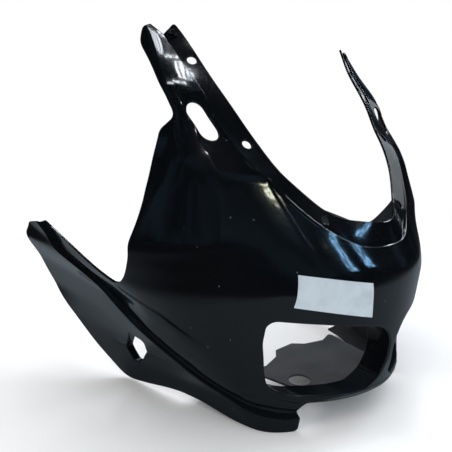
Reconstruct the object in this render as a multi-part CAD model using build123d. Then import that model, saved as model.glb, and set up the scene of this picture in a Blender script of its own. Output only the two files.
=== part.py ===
from build123d import *
import math
import os

import numpy as np

# Motorcycle upper fairing. X runs forward to the nose, Y to the rider's left, Z up, in millimetres.

# Moulding
WALL = 3.0
BAND_STEP = 6.0
BAND_SLOPE = 1.2
FAIRING_REACH = 12.0
FAIRING_SAMPLES = 49
SLOPE_REACH = 2.0
SECTION_PITCH = 16.0
SECTION_LOW = -25.0
SECTION_HIGH = 442.0
BAND_SECTION_HIGH = 215.0
SECTION_REAR = -460.0
TRIM_HALF_WIDTH = 320.0
TRIM_FRONT = 110.0
HOLE_REACH = 20.0

# Waterlines, one row per height. The nose runs as a parabola from nose_x on the centre line out to the
# corner at (corner_x, corner_w). The side leaves the corner at side_angle, spreads by spread and then
# runs straight aft, gaining taper millimetres of half width per millimetre.
#   height nose_x corner_x corner_w side_angle spread taper
STATIONS = np.array([
    (-25, 25.0, -7.0, 88.0, 66.0, 28.0, 0.25),
    (0, 32.0, 0.0, 90.0, 66.0, 28.0, 0.25),
    (34, 39.0, 8.0, 88.5, 62.0, 39.0, 0.235),
    (68, 49.5, 15.0, 87.5, 62.0, 71.0, 0.13),
    (102, 54.0, 23.0, 87.5, 62.0, 108.0, 0.02),
    (136, 56.0, 30.0, 87.5, 62.5, 129.0, -0.02),
    (162, 56.5, 34.0, 88.0, 63.0, 153.0, -0.05),
    (179, 55.0, 29.5, 90.0, 64.0, 163.0, -0.085),
    (202, 41.0, 15.5, 97.0, 67.0, 166.0, -0.10),
    (217, 31.5, 7.0, 101.0, 70.0, 150.0, 0.0),
    (255, 19.0, -13.5, 114.5, 70.5, 100.0, 0.2),
    (281, -4.0, -28.0, 123.5, 72.0, 71.0, 0.3),
    (298, -21.0, -42.5, 133.0, 74.0, 53.5, 0.35),
    (320, -42.0, -63.0, 139.5, 76.0, 40.0, 0.35),
    (342, -60.0, -80.0, 144.0, 80.0, 35.0, 0.3),
    (366, -78.0, -99.0, 148.0, 82.0, 34.0, 0.3),
    (394, -104.0, -124.0, 154.0, 80.0, 24.0, 0.25),
    (421, -124.0, -144.5, 160.5, 76.0, 15.0, 0.2),
    (442, -142.0, -162.0, 165.0, 76.0, 13.0, 0.2),
])

# Screen opening seen from the front: (half width, height) along the step from the centre out to the arm
SCREEN_STEP = [(0, 201.5), (32, 203), (60, 213.5), (85, 232), (107, 256.4), (123.7, 281.8),
               (133, 298), (138.6, 317), (144, 341.6), (148, 366.7), (154.3, 394.7), (160.7, 421)]
ARM_TIP = [(170.4, 432.5), (185, 440)]
SCREEN_TOP = 470.0

# Screen flange: step point and free edge point, both (X, half width, Z), from the centre to the tip
FLANGE = [
    ((42.0, 0.0, 201.5), (37.0, 0.0, 226.0)),
    ((38.7, 30.0, 203.0), (29.5, 26.0, 228.5)),
    ((24.0, 60.0, 213.5), (13.5, 52.0, 233.7)),
    ((9.0, 85.0, 232.0), (0.0, 70.5, 246.5)),
    ((-9.4, 107.0, 256.4), (-14.0, 88.0, 265.0)),
    ((-28.0, 123.7, 281.8), (-29.0, 102.0, 284.0)),
    ((-42.8, 133.0, 298.0), (-42.5, 110.0, 302.0)),
    ((-60.3, 138.6, 317.0), (-58.4, 116.0, 322.0)),
    ((-80.0, 144.0, 341.6), (-76.0, 124.0, 347.0)),
    ((-99.0, 148.0, 366.7), (-96.0, 130.0, 372.0)),
    ((-124.0, 154.3, 394.7), (-119.0, 135.5, 400.5)),
    ((-144.5, 160.7, 421.0), (-137.5, 143.5, 427.5)),
    ((-147.5, 161.6, 424.9), (-143.2, 147.4, 434.0)),
]
FLANGE_STEP = 1.8
FLANGE_ROOT = 5.0
SCREEN_HOLE_DIAMETER = 10.5
SCREEN_HOLES = [(11.9, 71.0, 235.5), (-50.0, 125.5, 310.0), (-118.0, 142.8, 394.6)]

# Side view outline, as (X, Z) runs
TAB_TOE = (-28.0, 0.0)
BOTTOM_EDGE = [(-57, 1.5), (-100, 11.0), (-137, 12.0), (-181, 5.0), (-221, 0.0)]
WING_CORNER_RADIUS = 14.0
TAIL_LOWER = [(-244, 21), (-290, 57), (-352, 93), (-402, 133), (-434, 168)]
TAIL_END = (-419, 185)
TAIL_END_RADIUS = 6.0
TAIL_CORNER = (-345, 198)
TAIL_JUNCTION = (-150, 161)
PANEL_REAR = [(-141.7, 162.5), (-112, 187), (-95, 215), (-91, 257), (-99.5, 295.6), (-107, 321)]
PANEL_CORNER_RADIUS = 3.0
ARM_REAR = [(-99.5, 331), (-97.6, 337), (-100, 344), (-107.5, 356), (-121.7, 373), (-141.7, 394),
            (-153.1, 405.5), (-158.5, 413), (-159.5, 420), (-157.5, 427), (-153, 434)]

# Space under the nose between the two front tabs, seen from the front: corner and corner radius
UNDER_NOSE = [((98.0, 32.0), 9.0), ((98.0, 3.0), 4.0), ((101.5, -1.0), 3.0)]
UNDER_NOSE_REAR = -40.0

# Shoulder of the proud lower band, from the front tab to past the tail: (X, half width, Z)
BAND_SHOULDER = [(14, 78, 22), (0.3, 97, 24), (-15.6, 118, 27), (-40, 136, 32), (-71, 153, 45),
                 (-100.5, 172, 65.7), (-134, 194, 97.4), (-180, 211, 125.6), (-219, 221, 152),
                 (-306, 222, 179), (-350, 221, 197), (-470, 218, 230)]

# Headlight opening seen from the front: corner (half width, height) and corner radius
LAMP_CORNERS = [((4.6, 114.0), 36.0), ((141.0, 138.0), 8.0), ((140.5, 112.0), 60.0), ((133.0, 76.0), 60.0),
                ((126.5, 53.0), 24.0), ((100.0, 42.5), 40.0), ((52.0, 39.0), 60.0), ((27.0, 38.3), 14.0),
                ((9.0, 51.0), 14.0), ((4.6, 75.0), 30.0)]
LAMP_RETURN_DEPTH = 28.0
LAMP_RETURN_WALL = 2.4
LAMP_CUT_REAR = -70.0

# Floor behind the headlights: its top in side view (X, Z), its plan (X, half width) and its one cable hole
FLOOR_TOP = [(60, 36.8), (8, 36.8), (-22, 28.5), (-115, 28.0)]
FLOOR_PLAN = [(60, 84), (5, 84), (-22, 68.5), (-94, 82), (-86, 57), (-95, 29), (-108, 15.7)]
FLOOR_CORNER_RADIUS = 4.0
FLOOR_HOLE_CENTRE = (-35.4, -51.5)
FLOOR_HOLE_DIAMETER = 26.0
FLOOR_SEAT_LOW = 12.0
FLOOR_SEAT_HIGH = 60.0

# Lip turned inward along the bottom edge: its top in side view (X, Z) and its inner edge (X, half width)
LIP_TOP = [(-30, 3.6), (-57, 4.5), (-100, 14.0), (-123, 15.0)]
LIP_INNER = [(-30, 101.5), (-123, 118.4)]
LIP_SEAT_HIGH = 39.0

# Mirror stalk slot, in front view
MIRROR_SLOT_CENTRE = (160.5, 331.0)
MIRROR_SLOT_LENGTH = 38.0
MIRROR_SLOT_WIDTH = 20.0
MIRROR_SLOT_LEAN = 75.0
MIRROR_SLOT_REAR = -130.0

# Indicator hole, in side view: corner (X, Z), with a short wall turned inward round it
INDICATOR_CORNERS = [(-180, 82), (-156, 78), (-163, 60), (-184, 36), (-196, 35), (-203, 55)]
INDICATOR_CORNER_RADIUS = 4.0
INDICATOR_RETURN_DEPTH = 9.0
INDICATOR_RETURN_WALL = 2.4

# Slot near the end of the tail, in side view
TAIL_SLOT_CENTRE = (-420, 164)
TAIL_SLOT_LENGTH = 11.0
TAIL_SLOT_WIDTH = 4.0
TAIL_SLOT_LEAN = 50.0

# Clip nut for the top screen screw
NUT_PLATE = 9.5
NUT_PLATE_THICK = 1.6
NUT_SINK = 0.8
NUT_BOSS_DIAMETER = 6.8
NUT_BOSS_HEIGHT = 2.4
NUT_BORE = 4.2
NUT_STATION = 11
NUT_ACROSS = 0.45
NUT_ALONG = -2.8
NUT_EDGE_RADIUS = 1.2


def waterline_sizes(z):
    """The six sizes of the waterline at height z, straight between stations and faired over a reach."""
    reach = np.linspace(-FAIRING_REACH, FAIRING_REACH, FAIRING_SAMPLES)
    weight = 1 + np.cos(np.pi * reach / FAIRING_REACH)
    weight = weight / weight.sum()
    heights = STATIONS[:, 0]
    return [float(weight @ np.interp(z + reach, heights, STATIONS[:, k])) for k in range(1, 7)]


def crossing(point_a, direction_a, point_b, direction_b):
    """The plan point where two straight lines cross."""
    matrix = np.array([direction_a, [-c for c in direction_b]]).T
    step = np.linalg.solve(matrix, np.subtract(point_b, point_a))
    return np.add(point_a, step[0] * np.array(direction_a))


def waterline(z, inset):
    """Closed face of the waterline at height z, moved inward by inset measured square to the wall."""
    nose_x, corner_x, corner_w, side_angle, spread, taper = waterline_sizes(z)
    corner_x_above = waterline_sizes(z + SLOPE_REACH)[1]
    corner_x_below = waterline_sizes(z - SLOPE_REACH)[1]
    corner_slope = (corner_x_above - corner_x_below) / (2 * SLOPE_REACH)
    nose_inset = inset * math.hypot(1, corner_slope)

    leg = np.array([-2 * (nose_x - corner_x), corner_w])
    leg = leg / np.linalg.norm(leg)
    side = np.array([-math.cos(math.radians(side_angle)), math.sin(math.radians(side_angle))])
    aft = np.array([-1, taper]) / math.hypot(1, taper)
    run = 3 * spread / (math.tan(math.radians(side_angle)) - taper)

    apex = np.array([2 * nose_x - corner_x - nose_inset / leg[1], 0])
    normal = leg + side
    normal = np.array([-normal[1], normal[0]]) / np.linalg.norm(normal)
    corner = np.array([corner_x, corner_w]) + nose_inset * normal
    aft_start = np.array([corner_x, corner_w + spread]) + inset * np.array([-aft[1], aft[0]])
    knee = crossing(corner, side, aft_start, aft)
    third = run / 3 * aft / -aft[0]
    middle = knee + third
    end = middle + third
    rear = aft_start + aft * (SECTION_REAR - aft_start[0]) / aft[0]

    def left(p):
        return Vector(float(p[0]), float(p[1]), z)

    def right(p):
        return Vector(float(p[0]), -float(p[1]), z)

    edges = [
        Edge.make_bezier(right(corner), left(apex), left(corner)),
        Edge.make_bezier(left(corner), left(knee), left(middle), left(end)),
        Edge.make_line(left(end), left(rear)),
        Edge.make_line(left(rear), right(rear)),
        Edge.make_line(right(rear), right(end)),
        Edge.make_bezier(right(end), right(middle), right(knee), right(corner)),
    ]
    return Face(Wire(edges))


def hull(inset, low, high):
    """Solid through the waterlines from low to high, moved inward by inset."""
    count = int(round((high - low) / SECTION_PITCH)) + 1
    heights = [float(z) for z in np.linspace(low, high, count)]
    return loft([waterline(z, inset) for z in heights])


def along_y(outline_face):
    """Prism of a side view face right across the fairing."""
    return extrude(outline_face, TRIM_HALF_WIDTH, dir=(0, 1, 0), both=True)


def side_point(p):
    return Vector(p[0], 0, p[1])


def front_point(p):
    return Vector(0, p[0], p[1])


def both_sides(solid):
    return [solid, mirror(solid, Plane.XZ)]


def band_space(drop):
    """Everything on the left below the band shoulder, which falls outward, lowered by drop."""
    points = [Vector(x, 0, z + BAND_SLOPE * w - drop) for x, w, z in BAND_SHOULDER]
    floor_rear = Vector(points[-1].X, 0, SECTION_LOW)
    floor_front = Vector(points[0].X, 0, SECTION_LOW)
    rest = Polyline(points[-1], floor_rear, floor_front, points[0])
    face = make_face([Spline(*points), rest])
    left = extrude(face, TRIM_HALF_WIDTH * math.hypot(1, BAND_SLOPE), dir=(0, 1, -BAND_SLOPE))
    return left + mirror(left, Plane.XZ)


def trim_space():
    """Side view outline of the whole fairing, left open in front."""
    front_low = Vector(TRIM_FRONT, 0, TAB_TOE[1])
    front_high = Vector(TRIM_FRONT, 0, SCREEN_TOP)
    bottom = [side_point(p) for p in [TAB_TOE] + BOTTOM_EDGE]
    tail_lower = [bottom[-1]] + [side_point(p) for p in TAIL_LOWER]
    tail_end = side_point(TAIL_END)
    tail_corner = side_point(TAIL_CORNER)
    panel = [side_point(p) for p in [TAIL_JUNCTION] + PANEL_REAR]
    arm = [panel[-1]] + [side_point(p) for p in ARM_REAR]
    arm_high = Vector(arm[-1].X, 0, SCREEN_TOP)
    edges = [
        Line(front_low, bottom[0]),
        Spline(*bottom, tangents=[(-1, 0, 0), (-1, 0, -0.05)]),
        Spline(*tail_lower),
        Line(tail_lower[-1], tail_end),
        Line(tail_end, tail_corner),
        Line(tail_corner, panel[0]),
        Spline(*panel),
        Spline(*arm),
        Polyline(arm[-1], arm_high, front_high, front_low),
    ]
    face = make_face(edges)
    rounded = [(bottom[-1], WING_CORNER_RADIUS), (tail_lower[-1], TAIL_END_RADIUS),
               (tail_end, TAIL_END_RADIUS), (panel[-1], PANEL_CORNER_RADIUS)]
    return along_y(round_corners(face, rounded))


def round_corners(face, corners):
    """The face with the vertex nearest each point rounded to its radius."""
    for point, radius in corners:
        vertex = face.vertices().sort_by_distance(point)[0]
        face = fillet(vertex, radius)
    return face


def under_nose_space():
    """Front view space below the nose, between the tabs."""
    left = [(front_point(p), radius) for p, radius in UNDER_NOSE]
    right = [(Vector(0, -p.Y, p.Z), radius) for p, radius in left[::-1]]
    low_left = Vector(0, left[-1][0].Y, SECTION_LOW)
    low_right = Vector(0, -left[-1][0].Y, SECTION_LOW)
    points = [p for p, _ in right + left]
    face = make_face(Polyline(low_right, *points, low_left, close=True))
    return carried_forward(round_corners(face, right + left), UNDER_NOSE_REAR)


def carried_forward(face, rear):
    """Front view face carried from the rear X out past the nose."""
    return extrude(face.moved(Location((rear, 0, 0))), TRIM_FRONT - rear, dir=(1, 0, 0))


def screen_space():
    """Front view opening above the screen step, open at the top between the arm tips."""
    left = [front_point(p) for p in SCREEN_STEP]
    right = [Vector(0, -p.Y, p.Z) for p in left]
    tip_left = [front_point(p) for p in ARM_TIP]
    tip_right = [Vector(0, -p.Y, p.Z) for p in tip_left]
    top_left = Vector(0, tip_left[-1].Y, SCREEN_TOP)
    top_right = Vector(0, -tip_left[-1].Y, SCREEN_TOP)
    step = Spline(*(right[:0:-1] + left))
    rest = Polyline(left[-1], *tip_left, top_left, top_right, *tip_right[::-1], right[-1])
    return extrude(make_face([step, rest]), TRIM_HALF_WIDTH, dir=(1, 0, 0), both=True)


def flange_frame(k):
    """Step point, unit vectors across and out of the flange, and its width at station k on the left."""
    step, free = (np.array(p) for p in FLANGE[k])
    before = np.array(FLANGE[k - 1][0]) if k > 0 else np.array(FLANGE[1][0]) * (1, -1, 1)
    after = np.array(FLANGE[min(k + 1, len(FLANGE) - 1)][0])
    across = free - step
    width = np.linalg.norm(across)
    across = across / width
    out = np.cross(after - before, across)
    out = out - across * (out @ across)
    return step, across, out / np.linalg.norm(out), width


def flange_section(k, side):
    """Cross section of the screen flange at station k, side 1 for left and -1 for right."""
    step, across, out, width = flange_frame(k)
    root = step - FLANGE_ROOT * across - FLANGE_STEP * out
    free = step + width * across - FLANGE_STEP * out
    corners = [root, free, free - WALL * out, root - WALL * out]
    points = [Vector(float(p[0]), float(p[1]) * side, float(p[2])) for p in corners]
    return Face(Wire.make_polygon(points, close=True))


def screen_flange():
    """Stepped strip round the screen opening, from one arm tip round the nose to the other."""
    count = len(FLANGE)
    sections = [flange_section(k, -1) for k in range(count - 1, 0, -1)]
    sections += [flange_section(k, 1) for k in range(count)]
    return loft(sections)


def lamp_outline():
    """Front view face of the left headlight opening with its rounded corners."""
    corners = [(front_point(p), radius) for p, radius in LAMP_CORNERS]
    face = make_face(Polyline(*[p for p, _ in corners], close=True))
    return round_corners(face, corners)


def stalk_slot():
    """Slot for the left mirror stalk, cut straight back through the arm."""
    across, height = MIRROR_SLOT_CENTRE
    plane = Plane(origin=(0, across, height), x_dir=(0, 1, 0), z_dir=(1, 0, 0))
    face = plane * Rot(0, 0, MIRROR_SLOT_LEAN) * SlotOverall(MIRROR_SLOT_LENGTH, MIRROR_SLOT_WIDTH)
    return carried_forward(face, MIRROR_SLOT_REAR)


def indicator_outline():
    """Side view face of the indicator hole."""
    face = make_face(Polyline(*[side_point(p) for p in INDICATOR_CORNERS], close=True))
    return fillet(face.vertices(), INDICATOR_CORNER_RADIUS)


def tail_slot():
    """Small slot through both tail ends."""
    x, z = TAIL_SLOT_CENTRE
    slot = Rot(0, 0, TAIL_SLOT_LEAN) * SlotOverall(TAIL_SLOT_LENGTH, TAIL_SLOT_WIDTH)
    return along_y(Plane.XZ * Pos(x, z) * slot)


def screw_hole(point):
    """Round hole square to the flange at a point on its left side."""
    distances = [np.linalg.norm(np.subtract(point, np.mean(pair, axis=0))) for pair in FLANGE]
    out = flange_frame(int(np.argmin(distances)))[2]
    plane = Plane(origin=point, z_dir=tuple(out))
    return plane * Cylinder(SCREEN_HOLE_DIAMETER / 2, HOLE_REACH)


def clip_nut():
    """Square nut plate with a round boss, lying on the left flange tip, and its bore."""
    step, across, out, width = flange_frame(NUT_STATION)
    along = np.cross(across, out)
    centre = step + across * width * NUT_ACROSS + along * NUT_ALONG - out * (FLANGE_STEP + NUT_SINK)
    plane = Plane(origin=tuple(centre), x_dir=tuple(across), z_dir=tuple(out))
    lift = NUT_PLATE_THICK + NUT_SINK
    plate = extrude(RectangleRounded(NUT_PLATE, NUT_PLATE, NUT_EDGE_RADIUS), lift)
    boss = Pos(0, 0, lift) * extrude(Circle(NUT_BOSS_DIAMETER / 2), NUT_BOSS_HEIGHT)
    bore = Cylinder(NUT_BORE / 2, HOLE_REACH)
    return plane * (plate + boss - bore), plane * bore


def moulded_wall(outer_hull, band_hull):
    """Wall of even thickness with the proud lower band, trimmed to the outline and the screen opening."""
    outer = outer_hull + (band_hull & band_space(0))
    low = SECTION_LOW - SECTION_PITCH
    inner_band = hull(WALL - BAND_STEP, low, BAND_SECTION_HIGH) & band_space(WALL * math.hypot(1, BAND_SLOPE))
    inner = hull(WALL, low, SECTION_HIGH + SECTION_PITCH) + inner_band
    wall = outer - inner - screen_space()
    return (wall & trim_space()) - under_nose_space()


def lamp_walls(outer_hull, lamp):
    """Return wall round the left headlight opening, straight back from the nose."""
    ring = carried_forward(offset(lamp, LAMP_RETURN_WALL) - lamp, LAMP_CUT_REAR)
    skin = outer_hull - outer_hull.moved(Location((-LAMP_RETURN_DEPTH, 0, 0)))
    return (ring & skin) - under_nose_space()


def nose_floor():
    """Floor joined to the nose under both headlights, with a scalloped rear edge and a cable hole."""
    top = [side_point(p) for p in FLOOR_TOP]
    under = [p - Vector(0, 0, WALL) for p in top[::-1]]
    slab = along_y(make_face(Polyline(*top, *under, close=True)))
    left = [Vector(x, w, 0) for x, w in FLOOR_PLAN]
    right = [Vector(p.X, -p.Y, 0) for p in left[::-1]]
    plan = make_face(Polyline(*left, *right, close=True))
    plan = round_corners(plan, [(p, FLOOR_CORNER_RADIUS) for p in left[1:] + right[:-1]])
    plan = plan - Pos(*FLOOR_HOLE_CENTRE) * Circle(FLOOR_HOLE_DIAMETER / 2)
    seat = hull(WALL / 2, FLOOR_SEAT_LOW, FLOOR_SEAT_HIGH)
    return extrude(plan, FLOOR_SEAT_HIGH) & slab & seat


def bottom_lips():
    """Lips turned inward along the bottom edge of both sides, behind the front tabs."""
    top = [side_point(p) for p in LIP_TOP]
    rear = Vector(top[-1].X, 0, SECTION_LOW)
    front = Vector(top[0].X, 0, SECTION_LOW)
    slab = along_y(make_face(Polyline(*top, rear, front, close=True)))
    front_in, rear_in = [Vector(x, w, SECTION_LOW) for x, w in LIP_INNER]
    core_points = [front_in, rear_in, Vector(rear_in.X, -rear_in.Y, SECTION_LOW),
                   Vector(front_in.X, -front_in.Y, SECTION_LOW)]
    core = extrude(make_face(Polyline(*core_points, close=True)), LIP_SEAT_HIGH - SECTION_LOW, dir=(0, 0, 1))
    seat = hull(WALL / 2 - BAND_STEP, SECTION_LOW, LIP_SEAT_HIGH)
    return (slab & seat & trim_space()) - core


def indicator_walls(band_hull, hole):
    """Return walls round both indicator holes, turned inward from the band."""
    deep_hull = hull(INDICATOR_RETURN_DEPTH - BAND_STEP, SECTION_LOW, BAND_SECTION_HIGH)
    return (band_hull - deep_hull) & along_y(offset(hole, INDICATOR_RETURN_WALL) - hole)


def main():
    outer_hull = hull(0, SECTION_LOW, SECTION_HIGH)
    band_hull = hull(-BAND_STEP, SECTION_LOW, BAND_SECTION_HIGH)
    fairing = moulded_wall(outer_hull, band_hull)

    lamp = lamp_outline()
    for opening in both_sides(carried_forward(lamp, LAMP_CUT_REAR)):
        fairing = fairing - opening
    for wall in both_sides(lamp_walls(outer_hull, lamp)):
        fairing = fairing + wall
    fairing = fairing + nose_floor() + bottom_lips()

    hole = indicator_outline()
    fairing = fairing - along_y(hole) + indicator_walls(band_hull, hole) - tail_slot()

    fairing = fairing + screen_flange()
    nut, nut_bore = clip_nut()
    for cut in [stalk_slot(), nut_bore] + [screw_hole(p) for p in SCREEN_HOLES]:
        for each in both_sides(cut):
            fairing = fairing - each

    left_nut = nut - fairing
    nodes = {
        "upper_fairing": fairing,
        "screen_clip_nut_left": left_nut,
        "screen_clip_nut_right": mirror(left_nut, Plane.XZ),
    }
    box = fairing.bounding_box()
    to_origin = Location((-box.center().X, 0, -box.min.Z))
    os.makedirs("parts", exist_ok=True)
    for name, solid in nodes.items():
        export_step(solid.moved(to_origin), f"parts/{name}.step")


main()
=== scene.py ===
"""Gloss black motorcycle upper fairing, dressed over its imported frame."""

import logging
import math
from dataclasses import dataclass, field
from enum import Enum
from typing import Callable

import bpy
import numpy as np
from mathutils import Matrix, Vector

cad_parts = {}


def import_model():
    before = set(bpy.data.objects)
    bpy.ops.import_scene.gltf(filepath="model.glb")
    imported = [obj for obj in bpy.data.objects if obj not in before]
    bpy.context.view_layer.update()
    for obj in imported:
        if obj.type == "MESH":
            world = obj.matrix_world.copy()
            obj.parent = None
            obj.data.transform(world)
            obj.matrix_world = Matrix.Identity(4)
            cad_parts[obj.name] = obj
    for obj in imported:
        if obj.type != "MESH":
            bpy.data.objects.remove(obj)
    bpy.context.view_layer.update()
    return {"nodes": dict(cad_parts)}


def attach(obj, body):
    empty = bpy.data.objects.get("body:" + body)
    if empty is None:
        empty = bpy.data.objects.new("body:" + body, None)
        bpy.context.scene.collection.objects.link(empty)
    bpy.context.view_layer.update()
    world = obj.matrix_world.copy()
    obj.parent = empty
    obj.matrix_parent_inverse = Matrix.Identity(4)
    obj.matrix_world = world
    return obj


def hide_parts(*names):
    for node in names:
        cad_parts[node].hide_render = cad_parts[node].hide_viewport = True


LOG = logging.getLogger("fairing")
Array = np.ndarray
Point = tuple[float, float]
Pair = tuple[float, float]
Place = tuple[float, float, float]
Window = tuple[float, float, float, float]
MM = 0.001

# Shapes are drawn in millimetres, with X starting this far ahead of the frame's origin.
FRAME_SHIFT_X = 187.882

# Thickness of the moulded wall.
WALL = 3.0

# Handle of a Bezier curve that bends like a quarter circle, as a share of its radius.
QUARTER = 0.55

# Half step of a slope worked out from two readings, and the least length that is divided by.
NUDGE = 0.05
TINY = 1e-9

# Points whose distance to an outline is worked out in one go.
BATCH = 4000


class Side(Enum):
    """Which way a cut is seen: along X from the front, along Y from the side, or from above."""

    FRONT = (1, 2)
    FLANK = (0, 2)
    PLAN = (0, 1)


class Edge(Enum):
    """How the wall ends at a cut."""

    ROLLED = "rolled"
    RETURNED = "returned"


def linear(code: str) -> tuple[float, float, float, float]:
    """Linear colour and an alpha of one, from the six hex digits of an sRGB code."""
    parts = [int(code[k:k + 2], 16) / 255 for k in (1, 3, 5)]
    channels = [c / 12.92 if c <= 0.04045 else ((c + 0.055) / 1.055) ** 2.4 for c in parts]
    return (channels[0], channels[1], channels[2], 1.0)


def per_metre(size: float) -> float:
    """Scale of a pattern whose features are a given number of millimetres apart."""
    return 1 / (size * MM)


@dataclass(frozen=True)
class Finish:
    """Two colours as sRGB hex, and the gloss of one surface."""

    name: str
    colour: str
    second: str
    roughness: float
    coat: float
    metallic: float = 0.0
    coat_roughness: float = 0.03

    def even(self) -> dict[str, object]:
        """Shader inputs that are the same all over the surface."""
        return {"Roughness": self.roughness, "Metallic": self.metallic,
                "Coat Weight": self.coat, "Coat Roughness": self.coat_roughness}

    def pair(self) -> dict[str, object]:
        """Both colours as the two inputs of a mix."""
        return {"A": linear(self.colour), "B": linear(self.second)}


# Automotive enamel under clear lacquer, sprayed on moulded ABS. Near black, with reflections as sharp as in
# a dark mirror, a faint ripple from the spray gun, and stone chips down to the grey primer.
PAINT = Finish("black_paint", "#06080b", "#6d7075", 0.14, 1.0)

# ABS as it came out of the mould, dusted with overspray. Dull and cloudy with a fine grain, in a dark grey
# that is painted shade: the inside of the shell is kept much darker than the same plastic on the floor plate.
SHADED_BACKING = Finish("bare_backing_shaded", "#15161a", "#232528", 0.45, 0.0)

# Unpainted moulded ABS, as on the inner floor. The same dull grain in a paler grey.
BARE_PLASTIC = Finish("bare_plastic", "#3c3e40", "#4a4c4e", 0.5, 0.0)

# Stamped spring steel with a phosphate coat. Dark metal whose soft highlights break up where it is worn.
NUT_STEEL = Finish("nut_steel", "#2b2c2e", "#5b5b5e", 0.42, 0.0, 1.0)

# Rolled vinyl film with a satin face. Pale blue grey, faintly clouded, with a soft broad sheen.
LABEL_VINYL = Finish("label_vinyl", "#bdc9d1", "#adb9c1", 0.38, 0.2)

# Matt studio paper off a roll. White to the eye, and a dull grey ground where the paint mirrors it.
FLOOR_PAPER = Finish("floor_paper", "#fafafa", "#5c656b", 0.75, 0.0)


def unit(rows: Array) -> Array:
    """Rows, or one row, divided by their lengths."""
    return rows / np.maximum(np.linalg.norm(rows, axis=-1, keepdims=True), TINY)


def dot(one: Array, other: Array) -> Array:
    """Scalar product of matching rows, as a column."""
    return (one * other).sum(1, keepdims=True)


def lengths_along(rows: Array) -> Array:
    """Length of a polyline up to each of its points."""
    return np.concatenate([[0], np.cumsum(np.linalg.norm(np.diff(rows, axis=0), axis=1))])


def cells_of(index: Array) -> Array:
    """Quads between neighbours of a grid of vertex numbers."""
    corners = [index[:-1, :-1], index[:-1, 1:], index[1:, 1:], index[1:, :-1]]
    return np.stack(corners, -1).reshape(-1, 4)


def ramp(value: Array, low: float, high: float) -> Array:
    """Smooth step from zero at low to one at high."""
    t = np.clip((value - low) / (high - low), 0, 1)
    return t * t * (3 - 2 * t)


def window(value: Array, edges: Window) -> Array:
    """One between the two middle edges and zero past the outer ones, with a smooth step at each end."""
    return ramp(value, edges[0], edges[1]) * (1 - ramp(value, edges[2], edges[3]))


def spline_through(knots: Array, values: Array, at: Array) -> Array:
    """Natural cubic spline: piecewise cubics with level curvature at knots and none at the ends.

    Args:
        knots: Rising parameters, one per value row.
        values: Rows of values at the knots.
        at: Parameters to read.

    Returns:
        Values at those parameters.
    """
    values = np.asarray(values, float).reshape(len(knots), -1)
    gap = np.diff(knots)
    count = len(knots)
    matrix = np.eye(count)
    right = np.zeros_like(values)
    rise = np.diff(values, axis=0) / gap[:, None]
    for k in range(1, count - 1):
        matrix[k, k - 1:k + 2] = (gap[k - 1], 2 * (gap[k - 1] + gap[k]), gap[k])
        right[k] = 6 * (rise[k] - rise[k - 1])
    bend = np.linalg.solve(matrix, right)
    at = np.asarray(at, float)
    k = np.clip(np.searchsorted(knots, at, side="right") - 1, 0, count - 2)
    h = gap[k][..., None]
    t = (at - knots[k])[..., None]
    s = h - t
    cubic = (bend[k] * s ** 3 + bend[k + 1] * t ** 3) / (6 * h)
    line = (values[k] / h - bend[k] * h / 6) * s + (values[k + 1] / h - bend[k + 1] * h / 6) * t
    return cubic + line


def run_through(points: list[Point], pitch: float = 2.0) -> Array:
    """Close polyline along the natural spline through points, by chord length.

    Args:
        points: Points of the run.
        pitch: Spacing of the polyline in millimetres.

    Returns:
        Rows of points, the first and last included.
    """
    rows = np.asarray(points, float)
    chord = lengths_along(rows)
    at = np.linspace(0, chord[-1], max(int(chord[-1] / pitch), 2) + 1)
    return spline_through(chord, rows, at)


def softened(loop: Array, corners: list[tuple[Point, float]], steps: int = 9) -> Array:
    """Closed loop with chosen corners rounded: each is replaced by a parabola over its radius.

    Args:
        loop: Rows of points.
        corners: Corner point and radius pairs.
        steps: Points on each parabola.

    Returns:
        The rounded loop.
    """
    t = np.linspace(0, 1, steps)[:, None]
    for corner, radius in corners:
        k = int(np.argmin(np.linalg.norm(loop - np.asarray(corner), axis=1)))
        loop = np.roll(loop, -k, axis=0)
        apex = loop[0]
        ahead = lengths_along(loop)[1:]
        behind = lengths_along(np.vstack([apex, loop[:0:-1]]))[1:]
        first = int(np.searchsorted(ahead, radius)) + 1
        last = int(np.searchsorted(behind, radius)) + 1
        leave = apex + radius * unit(loop[first] - apex)
        reach = apex + radius * unit(loop[-last] - apex)
        bow = (1 - t) ** 2 * reach + 2 * t * (1 - t) * apex + t ** 2 * leave
        loop = np.vstack([bow, loop[first:len(loop) - last + 1]])
    return loop


def rounded_polygon(corners: list[tuple[Point, float]], steps: int = 10) -> Array:
    """Closed polygon whose corners are arcs touching both sides.

    Args:
        corners: Corner point and radius pairs.
        steps: Points on each arc.

    Returns:
        Rows of points.
    """
    points = np.array([p for p, _ in corners], float)
    rows = []
    for k, (_, radius) in enumerate(corners):
        back = unit(points[k - 1] - points[k])
        ahead = unit(points[(k + 1) % len(points)] - points[k])
        half = math.acos(float(np.clip(back @ ahead, -1, 1))) / 2
        centre = points[k] + unit(back + ahead) * radius / math.sin(half)
        spoke = points[k] + back * radius / math.tan(half) - centre
        other = points[k] + ahead * radius / math.tan(half) - centre
        start = math.atan2(spoke[1], spoke[0])
        sweep = math.remainder(math.atan2(other[1], other[0]) - start, 2 * math.pi)
        turn = start + np.linspace(0, sweep, steps)
        rows.append(centre + radius * np.stack([np.cos(turn), np.sin(turn)], 1))
    return np.vstack(rows)


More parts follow.
